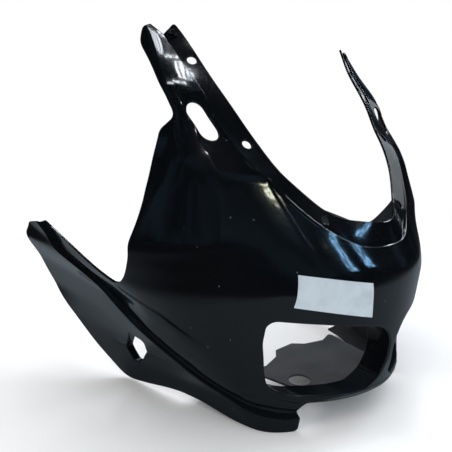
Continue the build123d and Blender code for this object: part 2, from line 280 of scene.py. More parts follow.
def long_hole(centre: Point, radius: float, half_run: float, lean: float, steps: int = 72) -> Array:
    """Slot with round ends: a circle whose two halves are moved apart along a leaning line.

    Args:
        centre: Middle of the slot.
        radius: Radius of its ends.
        half_run: How far each end's centre lies from the middle.
        lean: Angle of the line in degrees.
        steps: Points on the circle.

    Returns:
        Rows of points.
    """
    turn = np.linspace(0, 2 * math.pi, steps, endpoint=False)
    tilt = math.radians(lean)
    shift = np.where(np.cos(turn - tilt) >= 0, half_run, -half_run)
    return np.stack([centre[0] + radius * np.cos(turn) + shift * math.cos(tilt),
                     centre[1] + radius * np.sin(turn) + shift * math.sin(tilt)], 1)


@dataclass
class Cut:
    """A closed outline in one view, with the way the wall ends along it."""

    name: str
    view: Side
    loop: Array
    edge: Edge
    keeps_inside: bool = False
    rounding: float = 0.9
    depth: float = 0.0
    wall: float = 2.4
    margin: float = 40.0
    x_min: float = -900.0

    def level(self, points: Array) -> Array:
        """Signed distance to the outline in its view, below zero where the wall stays.

        Args:
            points: Rows of X, half width and Z.

        Returns:
            One distance per row, in millimetres.
        """
        flat = points[:, self.view.value]
        low = self.loop.min(0) - self.margin
        high = self.loop.max(0) + self.margin
        near = np.all((flat > low) & (flat < high), axis=1)
        out = np.full(len(flat), self.margin)
        rows = np.nonzero(near)[0]
        for part in np.array_split(rows, max(len(rows) // BATCH, 1)):
            out[part] = self.distance(flat[part])
        signed = out if self.keeps_inside else -out
        return np.where(points[:, 0] < self.x_min, -self.margin, signed)

    def distance(self, flat: Array) -> Array:
        """Distance to the nearest side of the loop, negative inside it.

        A point is inside where a level ray from it crosses the loop an odd number of times.

        Args:
            flat: Rows of two coordinates.

        Returns:
            One signed distance per row.
        """
        start = self.loop
        along = np.roll(start, -1, axis=0) - start
        offset = flat[:, None] - start[None]
        t = np.clip((offset * along).sum(2) / np.maximum((along ** 2).sum(1), TINY), 0, 1)
        gap = np.linalg.norm(offset - t[..., None] * along, axis=2).min(1)
        end = start + along
        straddles = (start[:, 1] <= flat[:, 1:]) != (end[:, 1] <= flat[:, 1:])
        rise = np.where(np.abs(along[:, 1]) < TINY, TINY, along[:, 1])
        hit = start[:, 0] + along[:, 0] * (flat[:, 1:] - start[:, 1]) / rise
        inside = (straddles & (flat[:, :1] < hit)).sum(1) % 2 == 1
        return np.where(inside, -gap, gap)


@dataclass
class Skin:
    """Vertices in millimetres, normals and faces of one built surface."""

    points: Array
    normals: Array
    quads: list[Array] = field(default_factory=list)
    tris: list[Array] = field(default_factory=list)

    def add_rows(self, points: Array, normals: Array) -> int:
        """Append vertices.

        Args:
            points: Rows of X, Y and Z.
            normals: A normal for each row.

        Returns:
            Index of the first new vertex.
        """
        first = len(self.points)
        self.points = np.vstack([self.points, points])
        self.normals = np.vstack([self.normals, normals])
        return first

    def sweep(self, rows: Array, local: Array, strips: list[tuple[Array, Array]]) -> None:
        """Join rows of new vertices one after another onto open edges.

        Args:
            rows: Vertices on the open edges.
            local: Directed edges as pairs of places in rows.
            strips: Points and normals of each new row.
        """
        previous = rows
        for places, facing in strips:
            current = self.add_rows(places, facing) + np.arange(len(rows))
            self.quads.append(np.stack([previous[local[:, 1]], previous[local[:, 0]],
                                        current[local[:, 0]], current[local[:, 1]]], 1))
            previous = current

    def mirrored(self) -> "Skin":
        """The same skin on the other side of the middle plane, with its faces turned back outwards."""
        flip = np.array([1, -1, 1])
        return Skin(self.points * flip, self.normals * flip,
                    [f[:, ::-1] for f in self.quads], [f[:, ::-1] for f in self.tris])

    def make(self, name: str) -> bpy.types.Object:
        """Blender object of the skin in the frame's place.

        Args:
            name: Name of the object.

        Returns:
            The linked mesh object, smooth shaded by its own normals.
        """
        mesh = bpy.data.meshes.new(name)
        place = (self.points + (FRAME_SHIFT_X, 0, 0)) * MM
        faces = [f.tolist() for group in self.quads + self.tris for f in group]
        mesh.from_pydata(place, [], faces)
        mesh.update()
        mesh.polygons.foreach_set("use_smooth", np.ones(len(mesh.polygons), bool))
        mesh.normals_split_custom_set_from_vertices(unit(self.normals).tolist())
        thing = bpy.data.objects.new(name, mesh)
        bpy.context.scene.collection.objects.link(thing)
        LOG.info("%s: %d vertices, %d faces", name, len(place), len(faces))
        return thing


@dataclass
class Sheet:
    """A surface of two parameters, clipped where its level function is above zero."""

    place: Callable[[Array, Array], Array]
    level: Callable[[Array, Array, Array], Array]
    step_u: float
    step_v: float
    halvings: int = 14

    def normal(self, u: Array, v: Array) -> Array:
        """Cross product of the central differences along both parameters.

        Args:
            u: First parameter.
            v: Second parameter.

        Returns:
            Unit normals.
        """
        du = self.place(u + self.step_u, v) - self.place(u - self.step_u, v)
        dv = self.place(u, v + self.step_v) - self.place(u, v - self.step_v)
        return unit(np.cross(du, dv))

    def clip(self, us: Array, vs: Array) -> tuple[Array, Array, Array, Array]:
        """Grid cells below the level, with cut cells split at the level's zero line.

        A cut cell becomes two triangles, and each of their cut sides ends where halving finds the zero.

        Args:
            us: Rising values of the first parameter.
            vs: Rising values of the second parameter.

        Returns:
            Parameters u and v of the vertices, quads and triangles.
        """
        grid_v, grid_u = np.meshgrid(vs, us, indexing="ij")
        u = grid_u.ravel()
        v = grid_v.ravel()
        inside = self.level(self.place(u, v), u, v) < 0
        cells = cells_of(np.arange(len(u)).reshape(grid_u.shape))
        held = inside[cells].sum(1)
        quads = cells[held == 4]
        mixed = cells[(held > 0) & (held < 4)]
        tris = np.vstack([mixed[:, (0, 1, 2)], mixed[:, (0, 2, 3)]])
        held = inside[tris].sum(1)
        whole = tris[held == 3]
        one = self.lead(tris[held == 1], inside, True)
        two = self.lead(tris[held == 2], inside, False)
        pairs = np.vstack([one[:, (0, 1)], one[:, (0, 2)], two[:, (1, 0)], two[:, (2, 0)]])
        keys, back = np.unique(pairs[:, 0] * len(u) + pairs[:, 1], return_inverse=True)
        kept = keys // len(u)
        gone = keys % len(u)
        low = np.zeros(len(keys))
        high = np.ones(len(keys))
        for _ in range(self.halvings):
            mid = (low + high) / 2
            mu = u[kept] + (u[gone] - u[kept]) * mid
            mv = v[kept] + (v[gone] - v[kept]) * mid
            stays = self.level(self.place(mu, mv), mu, mv) < 0
            low = np.where(stays, mid, low)
            high = np.where(stays, high, mid)
        all_u = np.concatenate([u, u[kept] + (u[gone] - u[kept]) * low])
        all_v = np.concatenate([v, v[kept] + (v[gone] - v[kept]) * low])
        new = back.ravel() + len(u)
        a = len(one)
        b = len(two)
        cut_tris = np.stack([one[:, 0], new[:a], new[a:2 * a]], 1)
        cut_quads = np.stack([two[:, 1], two[:, 2], new[2 * a + b:], new[2 * a:2 * a + b]], 1)
        quads = np.vstack([quads, cut_quads])
        tris = np.vstack([whole, cut_tris])
        used = np.unique(np.concatenate([quads.ravel(), tris.ravel()]))
        renumber = np.full(len(all_u), -1)
        renumber[used] = np.arange(len(used))
        return all_u[used], all_v[used], renumber[quads], renumber[tris]

    @staticmethod
    def lead(tris: Array, inside: Array, wanted: bool) -> Array:
        """Turn each triangle so that its odd corner comes first.

        Args:
            tris: Rows of three vertices.
            inside: Whether each vertex stays.
            wanted: The state of the odd corner.

        Returns:
            The turned triangles.
        """
        odd = np.argmax(inside[tris] == wanted, axis=1)
        order = (odd[:, None] + np.arange(3)) % 3
        return np.take_along_axis(tris, order, axis=1)


def open_edges(quads: Array, tris: Array, count: int) -> Array:
    """Directed edges that only one face uses.

    Args:
        quads: Rows of four vertices.
        tris: Rows of three vertices.
        count: Number of vertices.

    Returns:
        Rows of two vertices, in the order of their face.
    """
    edges = np.vstack([np.stack([faces[:, k], faces[:, (k + 1) % faces.shape[1]]], 1)
                       for faces in (quads, tris) for k in range(faces.shape[1])])
    there = edges[:, 0] * count + edges[:, 1]
    back = edges[:, 1] * count + edges[:, 0]
    return edges[~np.isin(there, back)]


def bezier(ends: tuple[Array, Array, Array, Array], steps: int) -> list[tuple[Array, Array]]:
    """Points and tangents along a cubic Bezier, without its start.

    Args:
        ends: Four control point arrays.
        steps: Number of points.

    Returns:
        Point and tangent arrays, one pair per step.
    """
    a, b, c, d = ends
    out = []
    for t in np.linspace(0, 1, steps + 1)[1:]:
        s = 1 - t
        place = s ** 3 * a + 3 * s * s * t * b + 3 * s * t * t * c + t ** 3 * d
        way = s * s * (b - a) + 2 * s * t * (c - b) + t * t * (d - c)
        out.append((place, unit(way)))
    return out


def facing_of(way: Array, normal: Array, lip: Array, inward: Array) -> Array:
    """Normal of a turned edge: the skin's where its path follows the lip, the lip's where it runs inward."""
    return unit(normal * dot(way, lip) + lip * dot(way, inward))


def rolled_edge(point: Array, normal: Array, lip: Array, reach: Array, radius: float,
                steps: int = 4) -> list[tuple[Array, Array]]:
    """Edge rolled over the wall's thickness: quarter turn, flat, quarter turn.

    Args:
        point: Points on the outer skin's edge.
        normal: Normals there.
        lip: Direction into the opening.
        reach: How far the edge reaches past the point.
        radius: Rounding in the depth.
        steps: Points on each quarter turn.

    Returns:
        Rows of points and normals from the outer to the inner skin.
    """
    inward = -normal
    top = point + reach * lip + radius * inward
    low = point + reach * lip + (WALL - radius) * inward
    base = point + WALL * inward
    over = bezier((point, point + QUARTER * reach * lip, top - QUARTER * radius * inward, top), steps)
    under = bezier((low, low + QUARTER * radius * inward, base + QUARTER * reach * lip, base), steps)
    strips = [(p, facing_of(t, normal, lip, inward)) for p, t in over]
    strips.append((low, lip))
    strips += [(p, facing_of(-t, -normal, lip, -inward)) for p, t in under]
    return strips


@dataclass
class Return:
    """Sizes of the turn from the skin into a return wall."""

    first_handle: float = 0.6
    least_square: float = 0.3
    least_drop: float = 0.35
    lip_steps: int = 6
    wall_shares: tuple[float, ...] = (0.33, 0.67, 1.0)
    end_steps: int = 4

    def strips(self, point: Array, normal: Array, lip: Array, inward: Array,
               cut: Cut) -> list[tuple[Array, Array]]:
        """Edge turned back into a return wall: rounded lip, straight wall, half-round end and outer face.

        Args:
            point: Points on the outer skin's edge.
            normal: Normals there.
            lip: Direction into the opening, square to inward.
            inward: Direction of the return wall.
            cut: Sizes of the return.

        Returns:
            Rows of points and normals from the outer to the inner skin.
        """
        skim = unit(lip - normal * dot(lip, normal))
        ratio = dot(skim, inward) / np.maximum(dot(skim, lip), self.least_square)
        drop = cut.rounding * np.maximum(ratio + 1, self.least_drop)
        top = point + cut.rounding * lip + drop * inward
        leave = point + self.first_handle * cut.rounding * skim
        over = bezier((point, leave, top - QUARTER * cut.rounding * inward, top), self.lip_steps)
        out = [(p, facing_of(t, normal, lip, inward)) for p, t in over]
        half = cut.wall / 2
        end = top + (cut.depth - cut.rounding) * inward
        for share in self.wall_shares:
            out.append((top + (end - top) * share, lip))
        for turn in np.linspace(0, math.pi, self.end_steps + 1)[1:]:
            facing = math.cos(turn) * lip + math.sin(turn) * inward
            out.append((end - half * lip + half * facing, facing))
        out.append((point - WALL * normal, -lip))
        return out


@dataclass
class Waterlines:
    """Plan sections of the fairing by height, as in the moulding: parabola nose, cubic sides."""

    reach: float = 12.0
    rear: float = -447.0
    crowding: float = 1.35
    pitch: float = 0.5
    lowest: float = -60.0
    highest: float = 500.0
    # Height, nose X, corner X, corner half width, side angle in degrees, spread and taper of the side.
    stations: Array = field(default_factory=lambda: np.array([
        (-25, 25.0, -7.0, 88.0, 66.0, 28.0, 0.25),
        (0, 32.0, 0.0, 90.0, 66.0, 28.0, 0.25),
        (34, 39.0, 8.0, 88.5, 62.0, 39.0, 0.235),
        (68, 49.5, 15.0, 87.5, 62.0, 71.0, 0.13),
        (102, 54.0, 23.0, 87.5, 62.0, 108.0, 0.02),
        (136, 56.0, 30.0, 87.5, 62.5, 129.0, -0.02),
        (162, 56.5, 34.0, 88.0, 63.0, 153.0, -0.05),
        (179, 55.0, 29.5, 90.0, 64.0, 163.0, -0.085),
        (202, 41.0, 15.5, 97.0, 67.0, 166.0, -0.10),
        (217, 31.5, 7.0, 101.0, 70.0, 150.0, 0.0),
        (255, 19.0, -13.5, 114.5, 70.5, 100.0, 0.2),
        (281, -4.0, -28.0, 123.5, 72.0, 71.0, 0.3),
        (298, -21.0, -42.5, 133.0, 74.0, 53.5, 0.35),
        (320, -42.0, -63.0, 139.5, 76.0, 40.0, 0.35),
        (342, -60.0, -80.0, 144.0, 80.0, 35.0, 0.3),
        (366, -78.0, -99.0, 148.0, 82.0, 34.0, 0.3),
        (394, -104.0, -124.0, 154.0, 80.0, 24.0, 0.25),
        (421, -124.0, -144.5, 160.5, 76.0, 15.0, 0.2),
        (442, -142.0, -162.0, 165.0, 76.0, 13.0, 0.2),
    ]))

    def __post_init__(self) -> None:
        """Fair the straight runs between stations by a raised-cosine running mean."""
        self.heights = np.arange(self.lowest, self.highest, self.pitch)
        half = int(self.reach / self.pitch)
        weight = np.hanning(2 * half + 1)
        weight = weight / weight.sum()
        self.faired = []
        for column in self.stations.T[1:]:
            raw = np.interp(self.heights, self.stations[:, 0], column)
            self.faired.append(np.convolve(np.pad(raw, half, mode="edge"), weight, "valid"))

    def sizes(self, z: Array) -> list[Array]:
        """Nose x, corner x, corner half width, side angle, spread and taper at given heights."""
        return [np.interp(z, self.heights, column) for column in self.faired]

    @staticmethod
    def side(aft: Array, half: Array, angle: Array, spread: Array, taper: Array) -> tuple[Array, Array]:
        """Side of a waterline: a cubic that leaves the corner at its angle and straightens to its taper.

        Args:
            aft: Distance behind the corner.
            half: Half width at the corner.
            angle: Angle at the corner in degrees.
            spread: How far the cubic widens.
            taper: Slope of the straight part.

        Returns:
            Half widths and slopes.
        """
        run = 3 * spread / (np.tan(np.radians(angle)) - taper)
        left = 1 - np.minimum(aft / run, 1)
        return half + spread * (1 - left ** 3) + taper * aft, 3 * spread / run * left ** 2 + taper

    def base(self, c: Array, z: Array) -> tuple[Array, Array, Array, Array]:
        """Point and plan normal: parabola for c up to 1, then the side's cubic.

        Args:
            c: Place along the waterline, 0 at the nose, 1 at the corner and 2 at the tail.
            z: Heights.

        Returns:
            X, half width, and the plan normal's X and outward parts.
        """
        nose, corner, half, angle, spread, taper = self.sizes(z)
        a = np.minimum(c, 1)
        aft = (corner - self.rear) * np.maximum(c - 1, 0) ** self.crowding
        side_w, side_slope = self.side(aft, half, angle, spread, taper)
        front = c <= 1
        x = np.where(front, nose - (nose - corner) * a ** 2, corner - aft)
        w = np.where(front, half * a, side_w)
        slope = np.where(front, half / np.maximum(2 * (nose - corner) * a, TINY), side_slope)
        size = np.hypot(1, slope)
        return x, w, slope / size, 1 / size

    def half_width(self, x: Array, z: Array) -> Array:
        """Half width of the waterline at a given X: a root ahead of the corner, the cubic behind it.

        Args:
            x: X in millimetres.
            z: Heights.

        Returns:
            Half widths, zero ahead of the nose.
        """
        nose, corner, half, angle, spread, taper = self.sizes(z)
        front = half * np.sqrt(np.clip((nose - x) / (nose - corner), 0, 1))
        side_w, _ = self.side(np.maximum(corner - x, 0), half, angle, spread, taper)
        return np.where(x > corner, front, side_w)


@dataclass(frozen=True)
class Ridge:
    """A low ridge under a line of X and Z: a step up, a top and a slow fall, fading at both ends."""

    line: tuple[Point, ...]
    proud: float
    ends: Window
    profile: Window

    def height(self, x: Array, z: Array) -> Array:
        """How far the ridge stands out: its height by its fade along X and its profile below the line."""
        below = np.interp(x, *np.transpose(self.line)) - z
        return self.proud * window(x, self.ends) * window(below, self.profile)


@dataclass(frozen=True)
class Groove:
    """A dip ahead of a line of Z and X, which starts sharply, is deepest a width on and dies away beyond."""

    line: tuple[Point, ...]
    depth: float
    width: float
    ends: Window
    square: float = 1.0

    def height(self, x: Array, z: Array) -> Array:
        """Height at or below zero: t times exp(1 - t) of the distance square to the line, fading along Z."""
        t = np.maximum((x - np.interp(z, *np.transpose(self.line))) * self.square, 0) / self.width
        return -self.depth * t * np.exp(1 - t) * window(z, self.ends)


@dataclass
class Relief:
    """Forms that stand off the plain waterline surface: band, ridges, grooves, crease and swage."""

    band_step: float = 6.0
    band_slope: float = 1.2
    band_softness: float = 0.7
    band_ends: Pair = (8, 14)
    # X, half width and Z along the shoulder of the lower band.
    shoulder: Array = field(default_factory=lambda: np.array([
        (14, 78, 22), (0.3, 97, 24), (-15.6, 118, 27), (-40, 136, 32), (-71, 153, 45),
        (-100.5, 172, 65.7), (-134, 194, 97.4), (-180, 211, 125.6), (-219, 221, 152),
        (-306, 222, 179), (-350, 221, 197), (-470, 218, 230)], float)[::-1])

    ledge: Ridge = Ridge(
        ((-144, 158), (-93.5, 136), (-65, 114.5), (-42, 97.6)),
        1.3, (-175, -140, -75, -40), (-1.5, 5, 8, 34))
    brow: Ridge = Ridge(
        ((-60, 46), (-27, 43.3), (-18.8, 42.6), (-12.5, 40.9), (-4.4, 38.4), (2.2, 35.2), (8, 32)),
        1.8, (-48, -22, 4, 10), (-3, 3, 7, 15))
    fold: Groove = Groove(
        ((273, -54), (287, -63), (330, -98), (345, -110)), 2.0, 9, (268, 296, 333, 350), 0.78)
    dish: Groove = Groove(
        ((281, -46), (299, -56.5), (314, -70), (328, -78), (338, -87), (351, -94), (362, -100)),
        2.8, 8, (272, 296, 344, 362), 0.75)
    flank: Groove = Groove(
        ((140, -20), (152, -22), (244, -35), (281, -46)), 0.9, 16, (145, 185, 262, 290))

    # Z and half width along the crease beside the hood.
    crease: tuple[Point, ...] = (
        (170, 87.2), (186, 92.1), (206, 98.1), (224.5, 104.5), (245, 111.9), (264, 118.4), (283, 124.6))
    crease_height: float = 0.3
    crease_reach: float = 2.2
    crease_square: float = 0.95
    crease_ends: Window = (176, 196, 262, 284)
    crease_front: Pair = (-45, -35)

    swage_at: Point = (-181, 58)
    swage_slope: float = 0.05
    swage_depth: float = 1.1
    swage_reach: float = 4.0
    swage_ends: Pair = (30, 58)

    def band(self, x: Array, w: Array, z: Array) -> Array:
        """Height of the proud lower band: a soft straight ramp below the shoulder line.

        Args:
            x: X of the plain surface.
            w: Half width there.
            z: Height.

        Returns:
            How far the band stands out.
        """
        at = np.clip(x, self.shoulder[0, 0], self.shoulder[-1, 0])
        line = spline_through(self.shoulder[:, 0], self.shoulder[:, 1:], at)
        top = line[:, 1] - self.band_slope * (w - line[:, 0])
        fall = self.band_step * self.band_slope
        k = self.band_softness
        below = (top - z) / k
        soft = np.logaddexp(0, below) - np.logaddexp(0, below - fall / k)
        return soft * k / self.band_slope * (1 - ramp(x, *self.band_ends))

    def height(self, x: Array, w: Array, z: Array) -> Array:
        """All forms added up along the plan normal.

        The crease is a bell curve across its line, and the swage a sharp dip that dies away from its line.

        Args:
            x: X of the plain surface.
            w: Half width there.
            z: Height.

        Returns:
            Height off the plain surface.
        """
        total = self.band(x, w, z)
        for form in (self.ledge, self.brow, self.fold, self.dish, self.flank):
            total = total + form.height(x, z)
        crease_w = np.interp(z, *np.transpose(self.crease))
        crisp = np.exp(-((w - crease_w) * self.crease_square / self.crease_reach) ** 2)
        total = total + (self.crease_height * crisp * window(z, self.crease_ends)
                         * ramp(x, *self.crease_front))
        past = x - self.swage_at[0]
        near = np.exp(-np.abs(z - self.swage_at[1] - self.swage_slope * past) / self.swage_reach)
        return total - self.swage_depth * near * (1 - ramp(np.abs(past), *self.swage_ends))


@dataclass
class Outlines:
    """Points of every outline: X and Z on the flank, half width and Z from the front."""

    bottom: tuple[Point, ...] = ((-28, 0), (-57, 1.5), (-100, 11), (-137, 12), (-181, 5), (-221, 0))
    tail_low: tuple[Point, ...] = (
        (-221, 0), (-244, 21), (-290, 57), (-352, 93), (-402, 133), (-434, 168))
    tail_end: tuple[Point, ...] = ((-434, 168), (-427, 176))
    wing_top: tuple[Point, ...] = ((-419, 185), (-382, 191.5), (-345, 198))
    panel_top: tuple[Point, ...] = ((-345, 198), (-250, 180), (-150, 161))
    panel: tuple[Point, ...] = (
        (-150, 161), (-141.7, 162.5), (-112, 187), (-95, 215), (-91, 257), (-99.5, 295.6), (-107, 321))
    neck: tuple[Point, ...] = ((-107, 321), (-104, 326), (-99, 331), (-97.6, 337), (-100, 344))
    arm: tuple[Point, ...] = (
        (-100, 344), (-107.5, 356), (-121.7, 373), (-141.7, 394), (-153.1, 405.5), (-158.5, 413),
        (-159.5, 420), (-157.5, 427), (-153, 434))
    # The flank outline is closed well ahead of the nose and above the arms.
    ahead_low: tuple[Point, ...] = ((110, 0), (-10, 0))
    ahead_high: tuple[Point, ...] = ((-153, 470), (110, 470))
    corners: tuple[tuple[Point, float], ...] = (
        ((-221, 0), 16.0), ((-434, 168), 7.0), ((-419, 185), 7.0), ((-345, 198), 4.0), ((-107, 321), 3.0))

    screen_step: tuple[Point, ...] = (
        (0, 201.5), (32, 203), (60, 213.5), (85, 232), (107, 256.4), (123.7, 281.8), (133, 298),
        (138.6, 317), (144, 341.6), (148, 366.7), (154.3, 394.7), (160.7, 421))
    screen_tip: tuple[Point, ...] = (
        (170.4, 432.5), (185, 440), (185, 480), (-185, 480), (-185, 440), (-170.4, 432.5))
    lamp: tuple[tuple[Point, float], ...] = (
        ((4.6, 114), 36), ((141, 138), 8), ((140.5, 112), 60), ((133, 76), 60), ((126.5, 53), 24),
        ((100, 42.5), 40), ((52, 39), 60), ((27, 38.3), 14), ((9, 51), 14), ((4.6, 75), 30))
    tab: tuple[tuple[Point, float], ...] = (
        ((98, 32), 9), ((98, 3), 4), ((101.5, -1), 3), ((101.5, -30), 1))
    indicator: tuple[Point, ...] = (
        (-180, 82), (-156, 78), (-163, 60), (-184, 36), (-196, 35), (-203, 55))
    indicator_radius: float = 4.0
    # Middle, end radius, half run and lean of each slot.
    mirror_slot: tuple[Point, float, float, float] = ((160.5, 331), 10, 9.0, 75)
    tail_slot: tuple[Point, float, float, float] = ((-420, 164), 2, 3.5, 50)

    def flank(self) -> Array:
        """Outline of the whole shell from the side, run by run round its edge, with its corners rounded."""
        runs = [self.ahead_low]
        runs += [run_through(run)[:-1] for run in (self.bottom, self.tail_low)]
        runs.append(self.tail_end)
        runs += [run_through(run)[:-1] for run in (self.wing_top, self.panel_top, self.panel, self.neck)]
        runs += [run_through(self.arm), self.ahead_high]
        return softened(np.vstack([np.asarray(run, float) for run in runs]), self.corners)

    def screen(self) -> Array:
        """Screen opening from the front: a spline along both steps, closed above the arm tips."""
        left = [(-w, z) for w, z in self.screen_step[:0:-1]]
        return np.vstack([run_through(left + list(self.screen_step)), self.screen_tip])

    def under_nose(self) -> Array:
        """Gap under the nose between the two front tabs."""
        right = tuple(((-w, z), radius) for (w, z), radius in self.tab[::-1])
        return rounded_polygon(right + self.tab)

    def stem(self) -> Array:
        """Hole for the indicator's stem."""
        return rounded_polygon([(corner, self.indicator_radius) for corner in self.indicator])


@dataclass
class Shell:
    """The moulded shell: outer skin, turned edges and inner skin."""

    nose_columns: int = 56
    side_columns: int = 330
    row_pitch: float = 1.25
    lowest: float = -2.0
    highest: float = 442.0
    step_along: float = 0.004
    step_up: float = 0.25
    least_climb: float = 0.45
    lines: Waterlines = field(default_factory=Waterlines)
    relief: Relief = field(default_factory=Relief)
    outlines: Outlines = field(default_factory=Outlines)
    returned: Return = field(default_factory=Return)

    def __post_init__(self) -> None:
        """Lay out the cuts: the outline, the screen opening, lamps, slots and holes."""
        shapes = self.outlines
        lamp = rounded_polygon(shapes.lamp)
        mirror = long_hole(*shapes.mirror_slot)
        tail = long_hole(*shapes.tail_slot)
        self.cuts = [
            Cut("outline", Side.FLANK, shapes.flank(), Edge.ROLLED, keeps_inside=True, margin=900),
            Cut("screen", Side.FRONT, shapes.screen(), Edge.ROLLED),
            Cut("under_nose", Side.FRONT, shapes.under_nose(), Edge.ROLLED, x_min=-40),
            Cut("lamp", Side.FRONT, lamp, Edge.RETURNED, rounding=2.2, depth=28, x_min=-70),
            Cut("mirror_slot", Side.FRONT, mirror, Edge.ROLLED),
            Cut("indicator", Side.FLANK, shapes.stem(), Edge.RETURNED, rounding=1.2, depth=9),
            Cut("tail_slot", Side.FLANK, tail, Edge.ROLLED, rounding=0.4),
        ]

    def place(self, c: Array, z: Array) -> Array:
        """Outer surface: the waterline point moved along its plan normal by the relief.

        Args:
            c: Signed place along the waterline, positive on the left.
            z: Heights.

        Returns:
            Rows of X, Y and Z in millimetres.
        """
        x, w, normal_x, normal_w = self.lines.base(np.abs(c), z)
        rise = self.relief.height(x, w, z)
        return np.stack([x + rise * normal_x, np.sign(c) * (w + rise * normal_w), z], 1)

    @staticmethod
    def folded(points: Array) -> Array:
        """Points with their half width in place of Y."""
        return np.stack([points[:, 0], np.abs(points[:, 1]), points[:, 2]], 1)

    def levels(self, points: Array) -> Array:
        """Level of each cut, set back by its edge rounding, in one row per cut."""
        folded = self.folded(points)
        return np.stack([cut.level(folded) + cut.rounding for cut in self.cuts])

    def build(self) -> tuple[Skin, Skin]:
        """Left half of the outer skin with its turned edges, and of the inner skin a wall behind it.

        Returns:
            The outer and the inner skin.
        """
        us = np.concatenate([np.linspace(0, 1, self.nose_columns, endpoint=False),
                             np.linspace(1, 2, self.side_columns)])
        vs = np.arange(self.lowest, self.highest, self.row_pitch)
        sheet = Sheet(self.place, lambda p, u, v: self.levels(p).max(0), self.step_along, self.step_up)
        u, v, quads, tris = sheet.clip(us, vs)
        points = self.place(u, v)
        normals = sheet.normal(u, v)
        outer = Skin(points, normals, [quads], [tris])
        inner = Skin(points - WALL * normals, -normals, [quads[:, ::-1]], [tris[:, ::-1]])
        edges = open_edges(quads, tris, len(points))
        edges = edges[u[edges].max(1) > 0]
        active = self.levels(points[edges].mean(1)).argmax(0)
        for k, cut in enumerate(self.cuts):
            chosen = edges[active == k]
            if len(chosen):
                self.turn_edge(outer, cut, chosen)
                LOG.info("%s: %d edges turned", cut.name, len(chosen))
        return outer, inner

    def turn_edge(self, skin: Skin, cut: Cut, edges: Array) -> None:
        """Roll the wall over at a cut, or turn it back into the opening's return wall.

        Args:
            skin: Outer skin to add to.
            cut: The cut that the edges lie on.
            edges: Directed open edges along it.
        """
        rows, local = np.unique(edges, return_inverse=True)
        local = local.reshape(edges.shape)
        point = skin.points[rows]
        normal = skin.normals[rows]
        uphill = self.gradient(cut, point)
        if cut.edge is Edge.ROLLED:
            lip = uphill - normal * dot(uphill, normal)
            climb = np.maximum(np.linalg.norm(lip, axis=1, keepdims=True), self.least_climb)
            strips = rolled_edge(point, normal, unit(lip), cut.rounding / climb, cut.rounding)
        else:
            inward = np.zeros_like(point)
            if cut.view is Side.FRONT:
                inward[:, 0] = -1
            else:
                inward[:, 1] = -np.sign(point[:, 1])
            strips = self.returned.strips(point, normal, uphill, inward, cut)
        skin.sweep(rows, local, strips)

    def gradient(self, cut: Cut, point: Array) -> Array:
        """Direction in which a cut's level rises fastest, from readings a nudge to each side.

        Args:
            cut: The cut.
            point: Rows of X, Y and Z.

        Returns:
            Unit rows.
        """
        out = np.zeros_like(point)
        for axis in cut.view.value:
            move = np.zeros(3)
            move[axis] = NUDGE
            out[:, axis] = cut.level(self.folded(point + move)) - cut.level(self.folded(point - move))
        return unit(out)


def closed_plate(sheet: Sheet, us: Array, vs: Array, rounding: float) -> Skin:
    """Both faces of a clipped sheet a wall apart, joined all round by rolled edges.

    Args:
        sheet: Surface and its level function.
        us: Rising values of the first parameter.
        vs: Rising values of the second parameter.
        rounding: Edge rounding.

    Returns:
        The closed skin.
    """
    u, v, quads, tris = sheet.clip(us, vs)
    points = sheet.place(u, v)
    normals = sheet.normal(u, v)
    skin = Skin(points, normals, [quads], [tris])
    edges = open_edges(quads, tris, len(points))
    rows, local = np.unique(edges, return_inverse=True)
    local = local.reshape(edges.shape)
    lip = np.zeros((len(rows), 3))
    for du, dv in ((NUDGE, 0), (0, NUDGE)):
        far = (u[rows] + du, v[rows] + dv)
        near = (u[rows] - du, v[rows] - dv)
        ahead = sheet.place(*far)
        behind = sheet.place(*near)
        rise = sheet.level(ahead, *far) - sheet.level(behind, *near)
        way = ahead - behind
        lip += way * (rise / (way ** 2).sum(1))[:, None]
    reach = np.full((len(rows), 1), rounding)
    skin.sweep(rows, local, rolled_edge(points[rows], normals[rows], unit(lip), reach, rounding))
    back = skin.add_rows(points - WALL * normals, -normals)
    skin.quads.append(quads[:, ::-1] + back)
    skin.tris.append(tris[:, ::-1] + back)
    return skin


